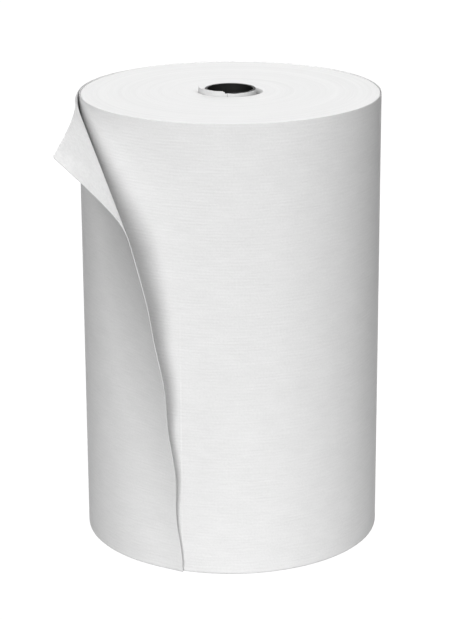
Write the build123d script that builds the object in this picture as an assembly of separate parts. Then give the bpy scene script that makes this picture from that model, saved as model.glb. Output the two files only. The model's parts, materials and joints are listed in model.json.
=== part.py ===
"""A jumbo roll of ribbed nonwoven wiping cloth, standing on end, with the corner of its tail peeled open.

+Z runs up the roll's axis and the origin is where the axis meets the base. -Y is the front. Azimuths turn
from +X towards +Y, which is also the way the web is wound on, so the web's outer end trails at TAIL_EDGE_AZ.
The web is one strip. It is built as the pieces that move or lie apart: the wraps that slid up round the
core, the wound bulk, the outermost turn, and the tail's strips, which hinge on each other as the web peels.
"""

import os
from math import atan2, cos, degrees, hypot, radians, sin

from build123d import *

# Web
WEB_WIDTH = 380.0  # along the axis
WEB_T = 0.45  # thickness of one layer
NIP_GAP = 0.05  # between a layer and the one it is wound on

# Roll
ROLL_D = 250.0  # to the start of the outermost turn

# Core, a spiral-wound board tube
CORE_BORE_D = 38.0
LINER_T = 0.4
BOARD_T = 1.2
COVER_PLY_T = 0.4
GLUE_LINE = 0.02
CORE_PROUD = 2.0  # how far the core stands out of the top end

# Double-sided tape that starts the web on the core
TAPE_T = 0.10
TAPE_WIDTH = 19.0
TAPE_END_MARGIN = 15.0  # left bare at each end of the core
TAPE_AZ = 300.0

# The web's inner end
WRAP_PROUD = 2.0  # the first wrap has slid up by this
TAB_PROUD = 4.0  # and the corner of the inner end by this
TAB_START_AZ = 178.0
TAB_END_AZ = 258.0

# Mouth of the winding, pulled out of round at the top end
MOUTH_SLACK = 5.1  # how far it stands off the winding's hole at its two tips
MOUTH_PLAY = 0.12  # beside the start tab at its narrow sides
MOUTH_DEPTH = 24.0
TAB_FLOOR_GAP = 0.3  # between the start tab and the mouth's floor

# Tail: the part of the outermost turn that comes off the roll
PEEL_AZ = (125.0, 155.0, 185.0)  # hinge lines between its strips
TAIL_EDGE_AZ = 250.0  # the free edge at the base, where it nearly lies on the roll
HINGE_GAP = 0.6  # between two strips, with the hinge line in its middle
STATIONS = 8  # points along each side of a level cut through the free end

# Level cuts through the free end: where the web leaves the roll, and where the cut ends and how far off it
CUT_BASE = {"leaves_az": 222.0, "ends_az": TAIL_EDGE_AZ, "lift": 3.0}
CUT_FOLD_LOW = {"leaves_az": 200.0, "ends_az": 242.0, "lift": 36.0}
CUT_TOP = {"leaves_az": 187.0, "ends_az": 210.0, "lift": 18.0}
CUTS_BELOW_FOLD = 5
RISE_POWER = {"leaves_az": 1.0, "ends_az": 1.9, "lift": 1.25}  # how each size changes up to the fold
LIFT_POWER = 1.9  # how sharply a cut curls away towards its end

# Corner of the tail, beyond a fold line from the top edge down to the free edge
FOLD_DROP = 105.0  # the fold's lower end is this far below the top edge
FOLD_HEADING_AZ = 270.0  # the way the web heads where it crosses the fold line
CORNER_REACH = 62.0  # from the fold line to the corner's tip, over the curl
CORNER_FOOT = 52.0  # along the fold line, from its top end to opposite the tip
CORNER_CURL_R = 110.0

roll_r = ROLL_D / 2
pitch = WEB_T + NIP_GAP
bulk_r = roll_r - pitch
bore_r = CORE_BORE_D / 2
board_in_r = bore_r + LINER_T + GLUE_LINE
cover_in_r = board_in_r + BOARD_T + GLUE_LINE
core_r = cover_in_r + COVER_PLY_T
tape_in_r = core_r + GLUE_LINE
wrap_in_r = tape_in_r + TAPE_T + GLUE_LINE
wrap_out_r = wrap_in_r + WEB_T
bulk_in_r = wrap_out_r + NIP_GAP
core_length = WEB_WIDTH + CORE_PROUD
mouth_half_x = bulk_in_r + MOUTH_SLACK
mouth_half_y = bulk_in_r + WEB_T + NIP_GAP + MOUTH_PLAY


def polar(radius, azimuth, z=0.0):
    """The point at that radius, azimuth in degrees and height."""
    return Vector(radius * cos(radians(azimuth)), radius * sin(radians(azimuth)), z)


def tube(inner_r, outer_r, height, base=0.0):
    """A straight tube standing on z = base."""
    ring = Plane.XY.offset(base) * (Circle(outer_r) - Circle(inner_r))
    return extrude(ring, height)


def arc(radius_at, az_from, az_to):
    """A curve from one azimuth to another whose radius is radius_at(azimuth), as short tangent arcs."""
    count = max(1, round(abs(az_to - az_from) / 30))
    step = (az_to - az_from) / count
    pieces = []
    for i in range(count):
        azimuths = [az_from + step * (i + share) for share in (0, 0.5, 1)]
        pieces.append(ThreePointArc(*[polar(radius_at(a), a) for a in azimuths]))
    return pieces


def wound_band(inner_at, thickness, az_from, az_to, height, base=0.0):
    """A layer wound round the axis: its inner radius is inner_at(azimuth)."""
    inner = arc(inner_at, az_from, az_to)
    outer = arc(lambda a: inner_at(a) + thickness, az_to, az_from)
    ends = [Line(inner[-1] @ 1, outer[0] @ 0), Line(outer[-1] @ 1, inner[0] @ 0)]
    return extrude(Plane.XY.offset(base) * make_face(inner + outer + ends), height)


def turn_radius(azimuth):
    """Inner radius of the outermost turn, a spiral that starts on the bulk under the tail's free edge."""
    turned = azimuth - TAIL_EDGE_AZ
    if azimuth <= TAIL_EDGE_AZ:
        turned += 360.0
    return bulk_r + NIP_GAP + pitch * turned / 360.0


def gap_angle(radius):
    """Half a hinge gap, in degrees at that radius."""
    return degrees(HINGE_GAP / 2 / radius)


def core_liner():
    """Dark inner ply of the core."""
    return tube(bore_r, bore_r + LINER_T, core_length)


def core_board():
    """Board plies of the core."""
    return tube(board_in_r, board_in_r + BOARD_T, core_length)


def core_cover_ply():
    """Outer ply of the core."""
    return tube(cover_in_r, core_r, core_length)


def pickup_tape():
    """Strip of tape along the core under the first wrap."""
    half = degrees(TAPE_WIDTH / 2 / core_r)
    length = WEB_WIDTH - 2 * TAPE_END_MARGIN
    return wound_band(
        lambda a: tape_in_r, TAPE_T, TAPE_AZ - half, TAPE_AZ + half, length, TAPE_END_MARGIN
    )


def first_wrap():
    """First wrap round the core, which has slid up with it."""
    return tube(wrap_in_r, wrap_out_r, WEB_WIDTH, WRAP_PROUD)


def mouth_radius(azimuth):
    """Distance from the axis to the mouth's wall."""
    return 1 / hypot(cos(radians(azimuth)) / mouth_half_x, sin(radians(azimuth)) / mouth_half_y)


def start_tab():
    """Corner of the web's inner end, which stands up in the slack side of the mouth."""
    base = WEB_WIDTH - MOUTH_DEPTH + TAB_FLOOR_GAP
    height = WEB_WIDTH + TAB_PROUD - base
    return wound_band(
        lambda a: mouth_radius(a) - NIP_GAP - WEB_T, WEB_T, TAB_START_AZ, TAB_END_AZ, height, base
    )


def wound_bulk():
    """All the turns between the first wrap and the outermost one."""
    mouth_floor = Plane.XY.offset(WEB_WIDTH - MOUTH_DEPTH)
    mouth = extrude(mouth_floor * Ellipse(mouth_half_x, mouth_half_y), MOUTH_DEPTH)
    return tube(bulk_in_r, bulk_r, WEB_WIDTH) - mouth


def outer_turn():
    """Outermost turn of the web, from under the tail's free edge to the first hinge line."""
    end_az = PEEL_AZ[0] + 360 - gap_angle(roll_r)

    def inner_at(azimuth):
        return bulk_r + NIP_GAP + pitch * (azimuth - TAIL_EDGE_AZ) / 360.0

    return wound_band(inner_at, WEB_T, TAIL_EDGE_AZ, end_az, WEB_WIDTH)


def tail_strip(number):
    """One strip of the tail that lies on the roll, between two hinge lines."""
    az_from = PEEL_AZ[number] + gap_angle(roll_r)
    az_to = PEEL_AZ[number + 1] - gap_angle(roll_r)
    return wound_band(turn_radius, WEB_T, az_from, az_to, WEB_WIDTH)


def free_end_section(height, cut, short):
    """A level cut through the free end: it follows the roll, then curls away, and ends short of its end."""
    start_az = PEEL_AZ[2] + gap_angle(roll_r)
    end_az = cut["ends_az"] - short
    bend = cut["ends_az"] - cut["leaves_az"]
    inner, outer = [], []
    for i in range(STATIONS):
        azimuth = start_az + (end_az - start_az) * i / (STATIONS - 1)
        run = max(0.0, (azimuth - cut["leaves_az"]) / bend)
        radius = turn_radius(azimuth) + cut["lift"] * run**LIFT_POWER
        slope = cut["lift"] * LIFT_POWER * run ** (LIFT_POWER - 1) / radians(bend)
        lean = degrees(atan2(slope, radius))
        inner.append(polar(radius, azimuth, height))
        outer.append(inner[-1] + polar(WEB_T, azimuth - lean))
    sides = [Spline(*inner), Line(inner[-1], outer[-1]), Spline(*outer), Line(outer[0], inner[0])]
    return make_face(sides)


def fold_end(cut, height):
    """One end of the corner's fold line, in the middle of the web's thickness."""
    return polar(turn_radius(cut["ends_az"]) + cut["lift"] + WEB_T / 2, cut["ends_az"], height)


def cut_below_fold(share):
    """The level cut at that share of the way up from the base to the fold's lower end."""
    low, high = CUT_BASE, CUT_FOLD_LOW
    return {size: low[size] + (high[size] - low[size]) * share ** RISE_POWER[size] for size in low}


def tail_free_end():
    """Last strip of the tail, which curls away from the roll, up to the fold line of its corner."""
    low_z = WEB_WIDTH - FOLD_DROP
    short = gap_angle(roll_r)
    sections = []
    for i in range(CUTS_BELOW_FOLD):
        share = i / (CUTS_BELOW_FOLD - 1)
        sections.append(free_end_section(low_z * share, cut_below_fold(share), short))
    sections.append(free_end_section(WEB_WIDTH, CUT_TOP, short))
    return loft(sections, ruled=True)


def fold_plane():
    """Frame of the fold line: origin at its top end, x down the line, z out of the web's outer side."""
    top, low = fold_end(CUT_TOP, WEB_WIDTH), fold_end(CUT_FOLD_LOW, WEB_WIDTH - FOLD_DROP)
    outward = (low - top).cross(polar(1, FOLD_HEADING_AZ))
    return Plane(origin=top, x_dir=low - top, z_dir=outward), (low - top).length


def tail_corner():
    """Corner of the web beyond the fold line, curling further outwards to its tip."""
    frame, fold_length = fold_plane()
    chord = CORNER_CURL_R * sin(CORNER_REACH / CORNER_CURL_R)
    ring = Circle(CORNER_CURL_R + WEB_T / 2) - Circle(CORNER_CURL_R - WEB_T / 2)
    band = extrude(Plane.YZ * Pos(0, CORNER_CURL_R) * ring, fold_length)
    start = HINGE_GAP / 2
    outline = Polyline((0, start), (fold_length, start), (CORNER_FOOT, chord), close=True)
    return frame * (band & extrude(make_face(outline), CORNER_CURL_R, both=True))


def export(name, shape):
    """Writes one node as parts/NAME.step."""
    shape.label = name
    export_step(shape, f"parts/{name}.step")


def main():
    os.makedirs("parts", exist_ok=True)
    export("core_liner", core_liner())
    export("core_board", core_board())
    export("core_cover_ply", core_cover_ply())
    export("pickup_tape", pickup_tape())
    export("first_wrap", first_wrap())
    export("start_tab", start_tab())
    export("wound_bulk", wound_bulk())
    export("outer_turn", outer_turn())
    export("tail_near_strip", tail_strip(0))
    export("tail_side_strip", tail_strip(1))
    export("tail_free_end", tail_free_end())
    export("tail_corner", tail_corner())


main()
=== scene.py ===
"""Looks of a jumbo roll of ribbed nonwoven cloth, standing on end with the corner of its tail curled open.

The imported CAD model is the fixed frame, in metres: +Z runs up the roll's axis and -Y is the front. Azimuths
turn from +X towards +Y. The web is one strip. On it, u runs along the web in metres and is 0 at the first
hinge line of the tail, and v runs up from the base.
"""
import json
from math import atan2, cos, pi, radians, sin

import bpy
import numpy as np
from mathutils import Matrix, Vector


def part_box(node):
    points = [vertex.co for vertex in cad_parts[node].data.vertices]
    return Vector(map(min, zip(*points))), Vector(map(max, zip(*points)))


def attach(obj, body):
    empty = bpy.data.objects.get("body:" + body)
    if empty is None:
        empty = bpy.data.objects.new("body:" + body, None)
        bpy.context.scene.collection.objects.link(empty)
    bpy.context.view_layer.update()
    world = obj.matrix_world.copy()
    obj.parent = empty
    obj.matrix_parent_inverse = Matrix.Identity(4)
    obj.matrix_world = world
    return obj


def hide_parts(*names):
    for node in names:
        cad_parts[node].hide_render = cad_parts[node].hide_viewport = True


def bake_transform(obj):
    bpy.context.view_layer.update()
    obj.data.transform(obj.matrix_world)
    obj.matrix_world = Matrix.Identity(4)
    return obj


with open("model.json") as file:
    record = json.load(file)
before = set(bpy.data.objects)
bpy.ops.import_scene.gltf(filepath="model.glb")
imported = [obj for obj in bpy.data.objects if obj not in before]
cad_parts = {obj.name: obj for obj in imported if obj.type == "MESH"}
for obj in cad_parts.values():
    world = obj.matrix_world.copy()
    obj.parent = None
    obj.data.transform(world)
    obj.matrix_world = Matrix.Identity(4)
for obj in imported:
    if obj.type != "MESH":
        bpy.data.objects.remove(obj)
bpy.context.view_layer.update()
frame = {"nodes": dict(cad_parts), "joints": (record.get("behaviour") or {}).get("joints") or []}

MM = 0.001
JOINTS = {joint["name"]: joint for joint in frame["joints"]}

# Sizes from the frame
WEB_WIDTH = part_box("wound_bulk")[1].z
BULK_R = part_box("wound_bulk")[1].x
WRAP_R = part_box("first_wrap")[1].x
WRAP_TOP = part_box("first_wrap")[1].z
TAB_LOW, TAB_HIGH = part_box("start_tab")

# The web, as thick and as tightly wound as in the CAD
WEB_T = 0.45 * MM
PITCH = 0.50 * MM  # of the winding

# The web's wound and free lengths
HINGE_AZ = [
    atan2(JOINTS[name]["pos_m"][1], JOINTS[name]["pos_m"][0]) % (2 * pi)
    for name in ("tail_peel", "side_peel", "end_peel")
]
TAIL_EDGE_AZ = radians(250.5)
TURN_START_AZ = HINGE_AZ[0] + radians(0.6)  # the outer turn starts here, under the tail
TAIL_R = BULK_R + 0.60 * MM  # middle of the web where the tail starts
TAIL_LENGTH = TAIL_R * (TAIL_EDGE_AZ - HINGE_AZ[0])
TURN_LENGTH = TAIL_R * 2 * pi
TAIL_COLUMN = 2.5 * MM  # between columns of the tail's points
TURN_COLUMN = 9 * MM  # and of the outer turn's

# Ribs of the web's outer face
RIB_PITCH = 2.6 * MM
RIB_COUNT = 2 * round(WEB_WIDTH / RIB_PITCH / 2)  # even, so that ROWS divides by INNER_STEP
ROWS_PER_RIB = 6
ROWS = RIB_COUNT * ROWS_PER_RIB
INNER_STEP = 2 * ROWS_PER_RIB  # the inner face has no ribs, and one row of points for this many
RIB_HEIGHT = 0.033 * MM
RIB_STRENGTH = 0.55  # of the height, give or take the unevenness
RIB_UNEVENNESS = 0.45
RIB_CELL = 12 * MM  # along a rib, between changes in its strength
RIB_SIDE_WAVE = 0.4  # of the height: a second wave, which makes a rib's two flanks differ
RIB_WANDER = 0.22  # of the pitch, up and down
WANDER_CELL = 35 * MM  # along a rib, between changes in its course
SWELLS = 0.05 * MM  # slow ones, over the whole face
SWELL_CELLS = (34, 11)  # along the web and up it

# Slit edges of the web, which turn in a little towards the roll
EDGE_ROUND = 1.5 * MM
TOP_TUCK = 0.12 * MM
BASE_TUCK = 0.75 * MM  # worn in by standing on it

# Bends of the tail: the first lifts it off the roll, and the second curls its corner over. Each starts at a
# line from the top edge to the tail's free edge, or to that edge carried on below the base: u is where the
# line crosses the top edge and v where it crosses the free edge. softness rounds the start. Past it, the web
# turns away by the fold angle within about fold_length, and by the curvature (per metre) all the way, about
# an axis that leans from upright.
PEEL_BEND = {
    "u": 159 * MM,
    "v": -71 * MM,
    "lean": radians(14),
    "softness": 3 * MM,
    "curvature": 11.4,
    "fold": 0.0,
    "fold_length": 1.0,
}
CORNER_U, CORNER_V = 122 * MM, 301 * MM
CORNER_BEND = {
    "u": CORNER_U,
    "v": CORNER_V,
    "lean": atan2(TAIL_LENGTH - CORNER_U, WEB_WIDTH - CORNER_V),
    "softness": 5 * MM,
    "curvature": 1.6,
    "fold": 0.53,
    "fold_length": 9 * MM,
}

# The corner's fold, which is a joint of the CAD
FOLD_INNER_SIDE = Vector((0.908, 0, 0.418))  # the way the web's inner side faces at the fold line
FOLD_BLEND = 28 * MM  # from the fold line to where the flap moves with the corner alone
FOLD_PIECE_U = 185 * MM  # start of the piece that has the fold in it

# The turn below keeps a faint upright crease where the tail's free edge used to lie. The colour is lightened
# along it, a painted highlight on the crease's ridge beside its bump.
CREASE_U = TAIL_LENGTH - TURN_LENGTH
CREASE_HALF_WIDTH = 1.3 * MM
CREASE_WHOLE_TO, CREASE_GONE_AT = 120 * MM, 250 * MM  # up from the base

# The tail's free edge isn't cut quite straight: two slow waves along its lower part
EDGE_WAVES = (
    {"depth": 1.6 * MM, "length": 79 * MM, "phase": 0.8},
    {"depth": 0.5 * MM, "length": 206 * MM, "phase": 1.7},
)
EDGE_WAVE_REACH = 40 * MM  # in from the edge
EDGE_WAVE_TOP = 300 * MM
EDGE_WAVE_FADE = 60 * MM  # down from the top of the waves

# Mouth of the winding round the core, which the core's slide pulled out of round
MOUTH_HALF_X = WRAP_R + 5.15 * MM
MOUTH_HALF_Y = WRAP_R + 0.67 * MM
MOUTH_DEPTH = 24 * MM

# The web's inner end: its first turn, and the corner that stands up in the mouth
WRAP_LOW = 2 * MM
WRAP_AZ = (radians(-96), radians(263.4))
TAB_AZ = (radians(178), radians(258))
FRAY = 0.22 * MM  # unevenness of its upper edge
STRIP_ROWS = 30


# ---------------------------------------------------------------- meshes

def fade(x):
    """A smooth step from 0 to 1 as x goes from 0 to 1."""
    x = np.clip(x, 0, 1)
    return x * x * (3 - 2 * x)


def value_noise(points, cells, seed):
    """Smooth random values from -1 to 1 along a line, with that many cells over its range from 0 to 1."""
    table = np.random.default_rng(seed).uniform(-1, 1, cells + 2)
    place = np.clip(points, 0, 1) * cells
    low = np.minimum(place.astype(int), cells - 1)
    return table[low] + (table[low + 1] - table[low]) * fade(place - low)


def surface_noise(across, up, cells_across, cells_up, seed):
    """Smooth random values from -1 to 1 over a sheet; across and up run from 0 to 1."""
    table = np.random.default_rng(seed).uniform(-1, 1, (cells_up + 2, cells_across + 2))
    x, y = np.clip(across, 0, 1) * cells_across, np.clip(up, 0, 1) * cells_up
    i, j = np.minimum(x.astype(int), cells_across - 1), np.minimum(y.astype(int), cells_up - 1)
    fx, fy = fade(x - i), fade(y - j)
    low = table[j, i] * (1 - fx) + table[j, i + 1] * fx
    high = table[j + 1, i] * (1 - fx) + table[j + 1, i + 1] * fx
    return low * (1 - fy) + high * fy


def grid_normals(points):
    """Unit normals of a grid of points, from the differences between neighbours."""
    along = np.gradient(points, axis=1)
    up = np.gradient(points, axis=0)
    normals = np.cross(along, up)
    return normals / np.linalg.norm(normals, axis=2, keepdims=True)


def new_object(name, data):
    """A new object in the scene, from a mesh, a light's data or a camera's."""
    obj = bpy.data.objects.new(name, data)
    bpy.context.scene.collection.objects.link(obj)
    return obj


def shell_faces(rows, inner_rows, cols):
    """Faces of a closed thin sheet, whose outer grid of points comes first and its inner grid next, and the
    kind of each face: 0 outer, 1 inner and 2 on the cut edges."""
    step = (rows - 1) // (inner_rows - 1)
    offset = rows * cols

    def quads(count, start, flipped):
        """Faces of a grid of count rows whose first point is number start."""
        r, c = np.meshgrid(np.arange(count - 1), np.arange(cols - 1), indexing="ij")
        a = (start + r * cols + c).ravel()
        around = [a, a + 1, a + 1 + cols, a + cols]
        return np.stack(around[::-1] if flipped else around, 1).tolist()

    outer = quads(rows, 0, False)
    inner = quads(inner_rows, offset, True)
    edges = []
    for c in range(cols - 1):  # bottom and top
        low, high = c, (rows - 1) * cols + c
        in_low, in_high = offset + c, offset + (inner_rows - 1) * cols + c
        edges.append([low, in_low, in_low + 1, low + 1])
        edges.append([high, high + 1, in_high + 1, in_high])
    for r in range(inner_rows - 1):  # the two ends
        for c, flipped in ((0, False), (cols - 1, True)):
            ladder = [(r * step + k) * cols + c for k in range(step + 1)]
            face = ladder + [offset + (r + 1) * cols + c, offset + r * cols + c]
            edges.append(face[::-1] if flipped else face)
    kinds = np.repeat([0, 1, 2], [len(outer), len(inner), len(edges)])
    return outer + inner + edges, kinds


def web_shell(name, outer, outer_normals, inner, inner_normals, coords, materials):
    """A closed thin sheet. outer and inner are grids of points, [row, column], with the same columns, and
    inner may have fewer rows. coords are the outer grid's (u, v). Its outer face gets materials[0], its
    inner face materials[1] and its cut edges materials[2]."""
    rows, cols = outer.shape[:2]
    inner_rows = inner.shape[0]
    faces, kinds = shell_faces(rows, inner_rows, cols)
    points = np.concatenate([outer.reshape(-1, 3), inner.reshape(-1, 3)])
    mesh = bpy.data.meshes.new(name)
    mesh.from_pydata(points.tolist(), [], faces)
    mesh.update()
    for material in materials:
        mesh.materials.append(material)
    mesh.polygons.foreach_set("material_index", kinds.astype(np.int32))
    mesh.polygons.foreach_set("use_smooth", np.ones(len(faces), bool))

    # The grids' own normals, but flat ones on the cut edges
    loop_vertex = np.zeros(len(mesh.loops), np.int32)
    mesh.loops.foreach_get("vertex_index", loop_vertex)
    totals = np.zeros(len(faces), np.int32)
    mesh.polygons.foreach_get("loop_total", totals)
    loop_face = np.repeat(np.arange(len(faces)), totals)
    flat = np.zeros(len(faces) * 3)
    mesh.polygons.foreach_get("normal", flat)
    normals = np.concatenate([outer_normals.reshape(-1, 3), inner_normals.reshape(-1, 3)])[loop_vertex]
    on_edge = kinds[loop_face] == 2
    normals[on_edge] = flat.reshape(-1, 3)[loop_face[on_edge]]
    mesh.normals_split_custom_set(normals.tolist())

    layer = mesh.uv_layers.new(name="web")
    inner_coords = coords[:: (rows - 1) // (inner_rows - 1)]
    web = np.concatenate([coords.reshape(-1, 2), inner_coords.reshape(-1, 2)])[loop_vertex]
    layer.uv.foreach_set("vector", web.astype(np.float32).ravel())
    return new_object(name, mesh)


# ---------------------------------------------------------------- the web's surface

def web_relief(u, v):
    """How far the web's outer face stands out at (u, v): level ribs of uneven strength, and slow swells."""
    span = TURN_LENGTH + TAIL_LENGTH
    along = (u + TURN_LENGTH) / span
    up = v / WEB_WIDTH
    unevenness = surface_noise(along, up, int(span / RIB_CELL), RIB_COUNT, seed=11)
    wander = surface_noise(along, up, int(span / WANDER_CELL), RIB_COUNT // 3, seed=12)
    phase = 2 * pi * (up * RIB_COUNT + RIB_WANDER * wander)
    section = np.cos(phase) + RIB_SIDE_WAVE * np.cos(2 * phase + 1)
    ribs = RIB_HEIGHT * (RIB_STRENGTH + RIB_UNEVENNESS * unevenness) * section
    return ribs + SWELLS * surface_noise(along, up, *SWELL_CELLS, seed=13)


def bend_turn(u, v, bend):
    """How far the web has turned at (u, v) past a bend's starting line, in radians."""
    run, drop = TAIL_LENGTH - bend["u"], WEB_WIDTH - bend["v"]
    distance = ((u - bend["u"]) * drop + (v - WEB_WIDTH) * run) / np.hypot(run, drop)
    past = (np.sqrt(distance**2 + bend["softness"] ** 2) + distance) / 2
    return bend["fold"] * (1 - np.exp(-past / bend["fold_length"])) + bend["curvature"] * past


def turned(vectors, lean, angle):
    """A grid of vectors, each turned by its own angle about an axis in the web's surface that leans from
    upright. A vector is (along the web, up, outwards)."""
    axis = np.array([sin(lean), -cos(lean), 0.0])
    cosine, sine = np.cos(angle)[..., None], np.sin(angle)[..., None]
    across = np.cross(np.broadcast_to(axis, vectors.shape), vectors)
    return vectors * cosine + across * sine + axis * (vectors @ axis)[..., None] * (1 - cosine)


def wavy_edge(u, v):
    """u, moved so that the tail's free edge runs in slow waves."""
    near = fade((u - TAIL_LENGTH + EDGE_WAVE_REACH) / EDGE_WAVE_REACH)
    low = np.clip((EDGE_WAVE_TOP - v) / EDGE_WAVE_FADE, 0, 1)
    waves = sum(wave["depth"] * np.sin(2 * pi * v / wave["length"] + wave["phase"]) for wave in EDGE_WAVES)
    return u + near * low * waves


def tail_middle(u, v):
    """The tail's middle surface as a grid of points: it follows the roll, then turns away past each bend.
    Each row is added up from its steps along the web, so the web keeps its length."""
    u = wavy_edge(u, v)
    heading = HINGE_AZ[0] + u / TAIL_R + pi / 2  # of the web if it stayed on the roll
    local = np.zeros(u.shape + (3,))
    local[..., 0] = 1
    for bend in (CORNER_BEND, PEEL_BEND):
        local = turned(local, bend["lean"], bend_turn(u, v, bend))
    along, up, out = local[..., 0], local[..., 1], local[..., 2]
    tangent = np.stack([
        np.cos(heading) * along + np.sin(heading) * out,
        np.sin(heading) * along - np.cos(heading) * out,
        up,
    ], -1)
    steps = np.diff(u, axis=1)[..., None]
    points = np.zeros(tangent.shape)
    points[:, 0, 0] = TAIL_R * cos(HINGE_AZ[0])
    points[:, 0, 1] = TAIL_R * sin(HINGE_AZ[0])
    points[:, 0, 2] = v[:, 0]
    points[:, 1:] = points[:, :1] + np.cumsum((tangent[:, 1:] + tangent[:, :-1]) / 2 * steps, 1)
    return points


def turn_middle(u, v):
    """The outermost turn's middle surface: a spiral whose radius grows by PITCH a turn, up to the tail."""
    azimuth = HINGE_AZ[0] + u / TAIL_R
    radius = TAIL_R + PITCH * u / TURN_LENGTH
    return np.stack([radius * np.cos(azimuth), radius * np.sin(azimuth), v], -1)


def rounding(to_edge):
    """Quarter-circle fall of an edge: 1 at the edge, 0 from EDGE_ROUND inwards."""
    share = np.minimum(to_edge / EDGE_ROUND, 1)
    return 1 - np.sqrt(1 - (1 - share) ** 2)


def web_layers(middle, u, v):
    """Outer and inner faces of the web over a grid, with their normals."""
    normals = grid_normals(middle)
    middle = middle - normals * (BASE_TUCK * rounding(v))[..., None]
    lift = WEB_T / 2 + web_relief(u, v) - TOP_TUCK * rounding(WEB_WIDTH - v)
    outer = middle + normals * lift[..., None]
    inner = (middle - normals * WEB_T / 2)[::INNER_STEP]
    return outer, grid_normals(outer), inner, -normals[::INNER_STEP]


# ---------------------------------------------------------------- materials

LOW_GLOSS = 0.25  # specular level of every material here
FUZZ = 0.08  # sheen of the web's two faces

# How much light each white part of the web sends back
WHITE_FACE = 0.66
# painted light: the curled flap's inner face is made whiter than the web's own white
WHITE_BACK_PAINTED_LIGHT = 0.79
# painted light: the roll's ends are made whiter than the web's own white, so the top end reads lighter
WHITE_ENDS_PAINTED_LIGHT = 0.79
WHITE_INNER_TURNS_PAINTED_SHADE = 0.55  # the first turns, next to the core, made darker than the web's own white: painted shade in the mouth


class Nodes:
    """A material's node tree, with short calls for the nodes used here."""

    def __init__(self, name):
        self.material = bpy.data.materials.new(name)
        self.material.use_nodes = True
        self.tree = self.material.node_tree
        self.shader = self.tree.nodes["Principled BSDF"]

    def put(self, socket, value):
        """Links a socket to another one, or sets its value."""
        if isinstance(value, bpy.types.NodeSocket):
            self.tree.links.new(value, socket)
        else:
            socket.default_value = value

    def add(self, kind, inputs=None, **settings):
        """A new node, with its settings, and its inputs by name or number."""
        node = self.tree.nodes.new(kind)
        for key, value in settings.items():
            setattr(node, key, value)
        for key, value in (inputs or {}).items():
            self.put(node.inputs[key], value)
        return node

    def math(self, operation, first, second=0.0):
        """The result of a Math node."""
        return self.add("ShaderNodeMath", {0: first, 1: second}, operation=operation).outputs[0]

    def weighted(self, *parts):
        """The sum of values, each multiplied by its weight."""
        terms = [self.math("MULTIPLY", value, weight) for value, weight in parts]
        total = terms[0]
        for term in terms[1:]:
            total = self.math("ADD", total, term)
        return total

    def noise(self, vector, scale, detail=3.0, roughness=0.55, stretch=(1, 1, 1)):
        """Noise from 0 to 1, over the vector multiplied by scale and stretch."""
        per_axis = [scale * share for share in stretch]
        scaled = self.add("ShaderNodeVectorMath", {0: vector, 1: per_axis}, operation="MULTIPLY")
        inputs = {"Vector": scaled.outputs[0], "Scale": 1.0, "Detail": detail, "Roughness": roughness}
        return self.add("ShaderNodeTexNoise", inputs).outputs["Fac"]

    def between(self, factor, low, high):
        """A colour from low to high as factor goes from 0 to 1."""
        node = self.add("ShaderNodeMix", data_type="RGBA")
        for key, value in (("Factor", factor), ("A", (*low, 1)), ("B", (*high, 1))):
            self.put(node.inputs[key], value)
        return node.outputs["Result"]

    def remap(self, value, low, high, to_low=0.0, to_high=1.0):
        """A value that goes from to_low to to_high as the given one goes from low to high."""
        inputs = dict(enumerate((value, low, high, to_low, to_high)))
        return self.add("ShaderNodeMapRange", inputs).outputs[0]

    def bump(self, height, distance, strength, below=None):
        """A normal from a height whose full range stands for distance, on top of the bump below it."""
        inputs = {"Height": height, "Distance": distance, "Strength": strength}
        if below is not None:
            inputs["Normal"] = below
        return self.add("ShaderNodeBump", inputs).outputs["Normal"]

    def web_point(self):
        """The web's own (u, v) in metres."""
        return self.add("ShaderNodeUVMap", uv_map="web").outputs["UV"]

    def place(self):
        """The point in the roll's frame, in metres."""
        return self.add("ShaderNodeTexCoord").outputs["Object"]

    def finish(self, colour, roughness, normal=None, sheen=0.0):
        """The material, with its shader set."""
        self.put(self.shader.inputs["Base Color"], colour)
        self.put(self.shader.inputs["Roughness"], roughness)
        self.put(self.shader.inputs["Specular IOR Level"], LOW_GLOSS)
        self.put(self.shader.inputs["Sheen Weight"], sheen)
        if normal is not None:
            self.put(self.shader.inputs["Normal"], normal)
        return self.material


def grey(level):
    return (level, level, level)


def ribbed_face():
    """Outer face of the web: fine level ribs, faint upright threads and matted fibres."""
    n = Nodes("web_ribbed_face")
    web = n.web_point()
    ribs = n.noise(web, 1, detail=2, roughness=0.5, stretch=(60, 640, 1))
    threads = n.noise(web, 1, detail=2, roughness=0.5, stretch=(700, 24, 1))
    fibres = n.noise(web, 1500, roughness=0.6)
    flecks = n.noise(web, 560, roughness=0.6)
    clouds = n.noise(web, 38, stretch=(1, 1.6, 1))
    u, v = n.add("ShaderNodeSeparateXYZ", {"Vector": web}).outputs[:2]
    to_crease = n.math("ABSOLUTE", n.math("SUBTRACT", u, CREASE_U))
    crease = n.remap(to_crease, 0, CREASE_HALF_WIDTH, 1, 0)
    crease = n.math("MULTIPLY", crease, n.remap(v, CREASE_WHOLE_TO, CREASE_GONE_AT, 1, 0))
    # the crease's share of the tone lightens the colour along it: a painted highlight on its ridge
    tone = n.weighted((clouds, 0.25), (ribs, 0.35), (flecks, 0.4), (crease, 0.07))
    colour = n.between(n.remap(tone, 0.32, 0.68), grey(WHITE_FACE * 0.92), grey(WHITE_FACE * 1.04))
    relief = n.bump(fibres, distance=0.06 * MM, strength=0.35)
    relief = n.bump(crease, distance=0.3 * MM, strength=0.6, below=relief)
    relief = n.bump(flecks, distance=0.2 * MM, strength=0.45, below=relief)
    relief = n.bump(threads, distance=0.08 * MM, strength=0.3, below=relief)
    relief = n.bump(ribs, distance=0.18 * MM, strength=0.45, below=relief)
    return n.finish(colour, n.remap(clouds, 0.3, 0.7, 0.86, 0.96), relief, sheen=FUZZ)


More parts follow.
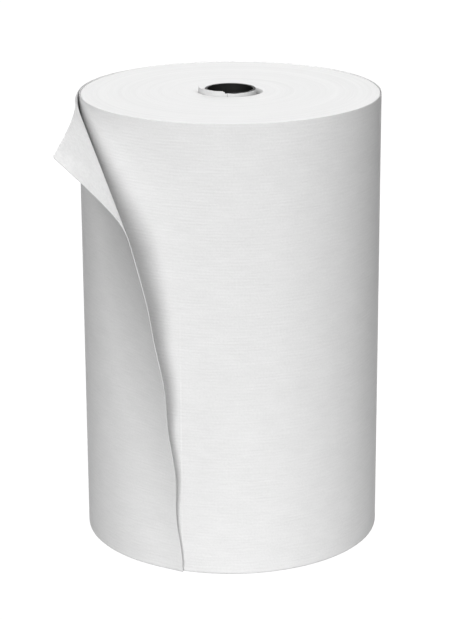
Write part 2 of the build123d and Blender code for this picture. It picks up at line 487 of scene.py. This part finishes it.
def matted_face(name, white):
    """Inner face of the web: matted fibres with no ribs, a little mottled."""
    n = Nodes(name)
    web = n.web_point()
    mottle = n.noise(web, 360, detail=4, roughness=0.65)
    fibres = n.noise(web, 1300, roughness=0.65)
    clouds = n.noise(web, 45, detail=2, roughness=0.5)
    tone = n.weighted((mottle, 0.55), (clouds, 0.45))
    colour = n.between(n.remap(tone, 0.35, 0.65), grey(white * 0.92), grey(white * 1.05))
    relief = n.bump(fibres, distance=0.08 * MM, strength=0.5)
    relief = n.bump(mottle, distance=0.6 * MM, strength=0.5, below=relief)
    return n.finish(colour, n.remap(mottle, 0.3, 0.7, 0.88, 0.97), relief, sheen=FUZZ)


def cut_edge():
    """Slit edge of the web, with a fluff of cut fibres."""
    n = Nodes("web_cut_edge")
    fluff = n.noise(n.web_point(), 1400, roughness=0.6)
    colour = n.between(fluff, grey(WHITE_FACE * 0.97), grey(WHITE_FACE * 1.03))
    relief = n.bump(fluff, distance=0.1 * MM, strength=0.5)
    return n.finish(colour, n.remap(fluff, 0.3, 0.7, 0.88, 0.98), relief)


def wound_ends():
    """The roll's ends: the edges of the turns, as faint rings that thicken and fade along the way round.
    Their white is raised above the web's own, as painted light on the top end.
    """
    n = Nodes("web_wound_ends_painted_light")
    place = n.place()
    x, y = n.add("ShaderNodeSeparateXYZ", {"Vector": place}).outputs[:2]
    radius = n.math("SQRT", n.math("ADD", n.math("MULTIPLY", x, x), n.math("MULTIPLY", y, y)))
    around = n.math("ARCTAN2", y, x)
    way_round = 1.6 * MM  # the way round counts only as on a circle this small, so the noise makes rings
    spun = n.add("ShaderNodeCombineXYZ", {
        0: radius,
        1: n.math("MULTIPLY", n.math("COSINE", around), way_round),
        2: n.math("MULTIPLY", n.math("SINE", around), way_round),
    }).outputs[0]
    layers = n.noise(spun, 1900, detail=2, roughness=0.6, stretch=(1, 0.35, 0.35))
    bands = n.noise(spun, 210, roughness=0.6, stretch=(1, 0.5, 0.5))
    fluff = n.noise(place, 1300, roughness=0.6)
    tone = n.weighted((layers, 0.45), (bands, 0.55))
    # painted light: the ends' white stands above the face's
    colour = n.between(n.remap(tone, 0.32, 0.68), grey(WHITE_ENDS_PAINTED_LIGHT * 0.935), grey(WHITE_ENDS_PAINTED_LIGHT * 1.02))
    relief = n.bump(fluff, distance=0.08 * MM, strength=0.4)
    relief = n.bump(layers, distance=0.2 * MM, strength=0.35, below=relief)
    return n.finish(colour, n.remap(layers, 0.3, 0.7, 0.9, 0.97), relief)


def black_board():
    """The core's black board, with the spiral seam of its plies and dusty fibres. Its black is darkened
    beyond the board's own, as painted shade inside the hole.
    """
    n = Nodes("core_black_board_painted_shade")
    place = n.place()
    x, y, z = n.add("ShaderNodeSeparateXYZ", {"Vector": place}).outputs
    turns = n.math("DIVIDE", n.math("ARCTAN2", y, x), 2 * pi)
    ply_width = 75 * MM
    seam = n.math("FRACT", n.math("ADD", n.math("DIVIDE", z, ply_width), turns))
    groove = n.remap(n.math("ABSOLUTE", n.math("SUBTRACT", seam, 0.5)), 0, 0.012)
    fibres = n.noise(place, 900, roughness=0.6, stretch=(1, 1, 0.5))
    dust = n.noise(place, 120, roughness=0.6)
    # near black: the board's own black, darkened further as painted shade inside the hole
    colour = n.between(n.math("MULTIPLY", fibres, dust), grey(0.003), (0.013, 0.013, 0.012))
    relief = n.bump(fibres, distance=0.08 * MM, strength=0.5)
    relief = n.bump(groove, distance=0.2 * MM, strength=0.8, below=relief)
    return n.finish(colour, n.remap(dust, 0.3, 0.7, 0.55, 0.8), relief)


def tape_film():
    """Double-sided tape."""
    n = Nodes("pickup_tape_film")
    creases = n.noise(n.place(), 160, roughness=0.6, stretch=(1, 1, 0.4))
    colour = n.between(creases, (0.62, 0.58, 0.48), (0.74, 0.71, 0.62))
    relief = n.bump(creases, distance=0.1 * MM, strength=0.5)
    return n.finish(colour, n.remap(creases, 0.3, 0.7, 0.35, 0.5), relief)


# ---------------------------------------------------------------- pieces

def add_outer_turn(materials):
    """The outermost turn, which starts under the tail and ends where the tail begins."""
    start = -TURN_LENGTH + TAIL_R * (TURN_START_AZ - HINGE_AZ[0])
    columns = round(-start / TURN_COLUMN) + 1
    u, v = np.meshgrid(np.linspace(start, 0.0, columns), np.linspace(0, WEB_WIDTH, ROWS + 1))
    layers = web_layers(turn_middle(u, v), u, v)
    obj = web_shell("roll_outer_turn", *layers, np.stack([u, v], -1), materials)
    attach(obj, "roll")
    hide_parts("outer_turn")


def tail_bends():
    """Where each piece of the tail starts and stops bending. The first bend starts at its hinge line, since
    the web behind that lies on the roll. The next two are centred on theirs, and the last starts at the
    corner's fold line."""
    half_gap = (HINGE_AZ[1] - HINGE_AZ[0]) / 2
    on_roll = [
        Vector((TAIL_R * cos(azimuth), TAIL_R * sin(azimuth), 0))
        for azimuth in [HINGE_AZ[0]] + [hinge + half_gap for hinge in HINGE_AZ]
    ]
    fold_top = Vector(JOINTS["corner_fold"]["pos_m"])
    over_fold = Vector(JOINTS["corner_fold"]["axis"]).cross(FOLD_INNER_SIDE).normalized()
    return [*zip(on_roll, on_roll[1:]), (fold_top, fold_top + over_fold * FOLD_BLEND)]


def add_tail(materials):
    """The tail, made as one surface and cut at upright lines into pieces, one for each joint."""
    near, side, free, corner = "tail_near_strip", "tail_side_strip", "tail_free_end", "tail_corner"
    pieces = (  # name, the two bodies that it joins, the CAD nodes that it stands for, how it is held
        ("tail_first_part", ("roll", "near_strip"), [near], "stretched"),
        ("tail_second_part", ("near_strip", "side_strip"), [near, side], "stretched"),
        ("tail_lifting_part", ("side_strip", "free_end"), [side, free], "folded"),
        ("tail_curled_corner", ("free_end", "corner"), [free, corner], "folded"),
    )
    hinge_gap = TAIL_R * (HINGE_AZ[1] - HINGE_AZ[0])
    cuts = [0.0, hinge_gap / 2, hinge_gap * 3 / 2, FOLD_PIECE_U, TAIL_LENGTH]
    column_u = []
    cut_columns = [0]
    for start, end in zip(cuts, cuts[1:]):
        count = round((end - start) / TAIL_COLUMN)
        column_u += list(np.linspace(start, end, count + 1)[:-1])
        cut_columns.append(cut_columns[-1] + count)
    column_u.append(TAIL_LENGTH)
    u, v = np.meshgrid(column_u, np.linspace(0, WEB_WIDTH, ROWS + 1))
    layers = web_layers(tail_middle(u, v), u, v)
    coords = np.stack([u, v], -1)
    for piece, bend, first, last in zip(pieces, tail_bends(), cut_columns, cut_columns[1:]):
        name, bodies, nodes, held = piece
        start, end = bend
        part = np.s_[:, first : last + 1]
        obj = web_shell(name, *(layer[part] for layer in layers), coords[part], materials)
        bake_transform(obj)
        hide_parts(*nodes)


def mouth_radius(azimuth):
    """Distance from the axis to the wall of the winding's oval mouth."""
    return 1 / np.hypot(np.cos(azimuth) / MOUTH_HALF_X, np.sin(azimuth) / MOUTH_HALF_Y)


def wound_rings(azimuth):
    """Rings of points round the wound turns, with a point at each azimuth. They go up the hole, out over
    the upper end, down the outside and back in under the lower end."""
    in_r = WRAP_R + 0.05 * MM  # below the mouth
    outer_r = BULK_R - 0.10 * MM
    rim_r = BULK_R - 0.7 * MM  # of each end's outermost ring
    inset = 0.35 * MM  # of each end's innermost ring, from the wall of the hole
    rim_width, rim_drop = 2.2 * MM, 0.9 * MM
    mouth_drop = 0.5 * MM
    upper_level = WEB_WIDTH - 0.12 * MM
    proud_height = 0.10 * MM  # of single turns
    swell_height = 0.10 * MM  # of slow waves over many turns
    end_rings = 150
    shares = np.linspace(0, 1, end_rings) ** 0.9  # of the way out, a little closer together towards the rim
    rng = np.random.default_rng(21)
    pairs = np.repeat(rng.uniform(-1, 1, end_rings // 2 + 1), 2)[:end_rings]
    proud = (pairs + rng.uniform(-1, 1, end_rings)) / 2
    wall = mouth_radius(azimuth)

    def ring(radius, height):
        """radius and height are one number, or one for each azimuth."""
        return np.stack(np.broadcast_arrays(radius * np.cos(azimuth), radius * np.sin(azimuth), height), -1)

    def drop_at_rim(radius):
        return rim_drop * (1 - fade((outer_r - radius) / rim_width)) ** 2

    rings = [ring(in_r, MOUTH_DEPTH), ring(in_r, WEB_WIDTH - MOUTH_DEPTH)]
    rings += [ring(wall, WEB_WIDTH - depth) for depth in (MOUTH_DEPTH, 6 * MM, 1.2 * MM)]
    for share, turn in zip(shares, proud):
        radius = wall + inset + (rim_r - wall - inset) * share
        swell = surface_noise(azimuth / (2 * pi), np.full(azimuth.shape, share), 9, 14, seed=22)
        height = upper_level + (proud_height * turn + swell_height * swell) * fade(share * 9)
        height = height - drop_at_rim(radius) - mouth_drop * (1 - fade(share * 16)) ** 2
        rings.append(ring(radius, np.minimum(height, WEB_WIDTH)))
    rings += [ring(outer_r, height) for height in (WEB_WIDTH - 2.5 * MM, WEB_WIDTH / 2, 2.5 * MM)]
    for share, turn in zip(shares[::-5], proud):
        radius = in_r + inset + (rim_r - in_r - inset) * share
        rings.append(ring(radius, 0.05 * MM * (1 + turn) + drop_at_rim(radius)))
    return rings


def add_wound_turns(material):
    """All the turns between the first wrap and the outermost, as a ring with soft rims and an oval mouth."""
    spokes = 240
    rings = wound_rings(np.linspace(0, 2 * pi, spokes, endpoint=False))
    r, c = np.meshgrid(np.arange(len(rings)), np.arange(spokes), indexing="ij")
    next_r, next_c = (r + 1) % len(rings), (c + 1) % spokes
    corners = [next_r * spokes + c, next_r * spokes + next_c, r * spokes + next_c, r * spokes + c]
    faces = np.stack([corner.ravel() for corner in corners], 1)
    mesh = bpy.data.meshes.new("roll_wound_turns")
    mesh.from_pydata(np.concatenate(rings).tolist(), [], faces.tolist())
    mesh.materials.append(material)
    mesh.polygons.foreach_set("use_smooth", np.ones(len(faces), bool))
    mesh.update()
    mesh.set_sharp_from_angle(angle=radians(40))
    obj = new_object("roll_wound_turns", mesh)
    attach(obj, "roll")
    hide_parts("wound_bulk")


def edge_strip(name, azimuth, radius, low, top, materials):
    """A thin strip of web that stands round the core. radius gives its middle for a column of shares of the
    way up, and top is the height of its upper edge, one number for each azimuth."""
    share = np.linspace(0, 1, STRIP_ROWS + 1)[:, None] ** 0.6  # closer together towards the upper edge
    height = low + (top - low) * share
    r = radius(share)
    middle = np.stack([r * np.cos(azimuth), r * np.sin(azimuth), height], -1)
    normals = grid_normals(middle)
    outer, inner = middle + normals * WEB_T / 2, middle - normals * WEB_T / 2
    coords = np.stack([np.broadcast_to(azimuth * WRAP_R, height.shape), height], -1)
    return web_shell(name, outer, normals, inner, -normals, coords, materials)


def add_first_wrap(materials):
    """The first wrap of the web on the core, which slid up with it and has an uneven edge."""
    azimuth = np.linspace(*WRAP_AZ, 181)
    around = (azimuth - azimuth[0]) / (azimuth[-1] - azimuth[0])
    middle_r = WRAP_R - WEB_T / 2
    wave = 0.04 * MM * np.sin(5 * azimuth)
    top = WRAP_TOP + FRAY * value_noise(around, 23, seed=31) - 0.15 * MM

    def radius(share):
        return middle_r + wave * share**4

    obj = edge_strip("first_wrap_edge", azimuth, radius, WRAP_LOW, top, materials)
    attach(obj, "roll")
    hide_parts("first_wrap")


def add_start_tab(materials):
    """The corner of the web's inner end, which stands up in the slack side of the mouth."""
    azimuth = np.linspace(*TAB_AZ, 61)
    around = (azimuth - azimuth[0]) / (azimuth[-1] - azimuth[0])
    wall = mouth_radius(azimuth)
    off_wall = 0.35 * MM + WEB_T / 2
    lean = 0.25 * MM * fade((around - 0.6) / 0.4)  # inwards, over the last part of its length
    worn_corner = 0.9 * MM * fade((around - 0.93) / 0.07)
    top = TAB_HIGH.z - 0.25 * MM + FRAY * value_noise(around, 7, seed=41) - worn_corner

    def radius(share):
        return wall - off_wall - lean * share**3

    obj = edge_strip("start_tab_corner", azimuth, radius, TAB_LOW.z, top, materials)
    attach(obj, "roll")
    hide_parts("start_tab")


def finish_cad_nodes(board, tape):
    """The core and its tape keep their CAD shapes and get their finishes."""
    finishes = {"core_liner": board, "core_board": board, "core_cover_ply": board, "pickup_tape": tape}
    for name, material in finishes.items():
        node = frame["nodes"][name]
        node.data.materials.clear()
        node.data.materials.append(material)


# ---------------------------------------------------------------- stage, light and camera

GROUND_WHITE = 1.05  # strength of the floor and the world as the camera sees them, just past full white


def add_floor():
    """A plain pale table top under the roll: white to the eye, but dull in the light that it sends back."""
    reach = 0.6
    corners = [(-reach, -reach, 0), (reach, -reach, 0), (reach, reach, 0), (-reach, reach, 0)]
    mesh = bpy.data.meshes.new("floor")
    mesh.from_pydata(corners, [], [(0, 1, 2, 3)])
    floor = new_object("floor", mesh)
    n = Nodes("floor_white")
    grain = n.noise(n.place(), 30, detail=2, roughness=0.5)
    material = n.finish(n.between(grain, grey(0.33), grey(0.36)), 0.9)
    white = n.add("ShaderNodeEmission", {"Strength": GROUND_WHITE})
    seen = n.add("ShaderNodeLightPath").outputs["Is Camera Ray"]
    mix = n.add("ShaderNodeMixShader", {0: seen, 1: n.shader.outputs[0], 2: white.outputs[0]})
    n.put(n.tree.nodes["Material Output"].inputs["Surface"], mix.outputs[0])
    mesh.materials.append(material)


def add_sun(name, azimuth, elevation, strength, softness):
    """A soft light from far away. Azimuth 0 shines from the front and 90 from the right."""
    light = bpy.data.lights.new(name, "SUN")
    light.energy = strength
    light.angle = radians(softness)
    obj = new_object(name, light)
    a, e = radians(azimuth), radians(elevation)
    towards_light = Vector((sin(a) * cos(e), -cos(a) * cos(e), sin(e)))
    obj.rotation_mode = "QUATERNION"
    obj.rotation_quaternion = towards_light.to_track_quat("Z", "Y")


def add_light():
    """A world that is white to the eye but dim as a light, and soft lights, most of them from the front."""
    world = bpy.data.worlds.new("studio")
    bpy.context.scene.world = world
    world.use_nodes = True
    tree = world.node_tree
    tree.nodes.clear()
    dim = tree.nodes.new("ShaderNodeBackground")
    dim.inputs["Strength"].default_value = 0.01
    white = tree.nodes.new("ShaderNodeBackground")
    white.inputs["Color"].default_value = (1, 1, 1, 1)
    white.inputs["Strength"].default_value = GROUND_WHITE
    seen = tree.nodes.new("ShaderNodeLightPath")
    mix = tree.nodes.new("ShaderNodeMixShader")
    out = tree.nodes.new("ShaderNodeOutputWorld")
    tree.links.new(seen.outputs["Is Camera Ray"], mix.inputs[0])
    tree.links.new(dim.outputs[0], mix.inputs[1])
    tree.links.new(white.outputs[0], mix.inputs[2])
    tree.links.new(mix.outputs[0], out.inputs[0])
    add_sun("low_left_light", azimuth=-20, elevation=22, strength=2.05, softness=30)
    add_sun("front_light", azimuth=0, elevation=40, strength=1.38, softness=90)
    add_sun("right_light", azimuth=45, elevation=50, strength=1.43, softness=60)
    add_sun("top_light", azimuth=0, elevation=85, strength=0.22, softness=60)
    add_sun("back_light", azimuth=180, elevation=8, strength=2.5, softness=50)


def add_camera():
    """The camera, with a long lens, looking down at the roll from the front."""
    data = bpy.data.cameras.new("camera")
    data.lens = 129.6
    data.sensor_width = 36
    camera = new_object("camera", data)
    place = Vector((0, -1.817125, 0.764375))
    pitch, yaw, roll = radians(17.559), radians(0.032), radians(-0.267)
    forward = Vector((sin(yaw) * cos(pitch), cos(yaw) * cos(pitch), -sin(pitch)))
    level = Vector((cos(yaw), -sin(yaw), 0))
    over = level.cross(forward)
    right = level * cos(roll) + over * sin(roll)
    up = over * cos(roll) - level * sin(roll)
    turn = Matrix((right, up, -forward)).transposed().to_4x4()
    camera.matrix_world = Matrix.Translation(place) @ turn
    bpy.context.scene.camera = camera


bpy.context.scene.view_settings.view_transform = "Standard"
face = ribbed_face()
edge = cut_edge()
ends = wound_ends()
# painted light: the flap's inner face gets a whiter colour than the outer face of the same web
back = matted_face("web_matted_face_painted_light", WHITE_BACK_PAINTED_LIGHT)
# painted shade: the first wrap and the start tab get a darker white, as the mouth's shade; their cut edges
# stay white
inner_turns_painted_shade = matted_face("web_inner_turns", WHITE_INNER_TURNS_PAINTED_SHADE)
add_wound_turns(ends)
add_outer_turn([face, back, edge])
add_tail([face, back, edge])
add_first_wrap([inner_turns_painted_shade, inner_turns_painted_shade, edge])
add_start_tab([inner_turns_painted_shade, inner_turns_painted_shade, edge])
finish_cad_nodes(black_board(), tape_film())
add_floor()
add_light()
add_camera()
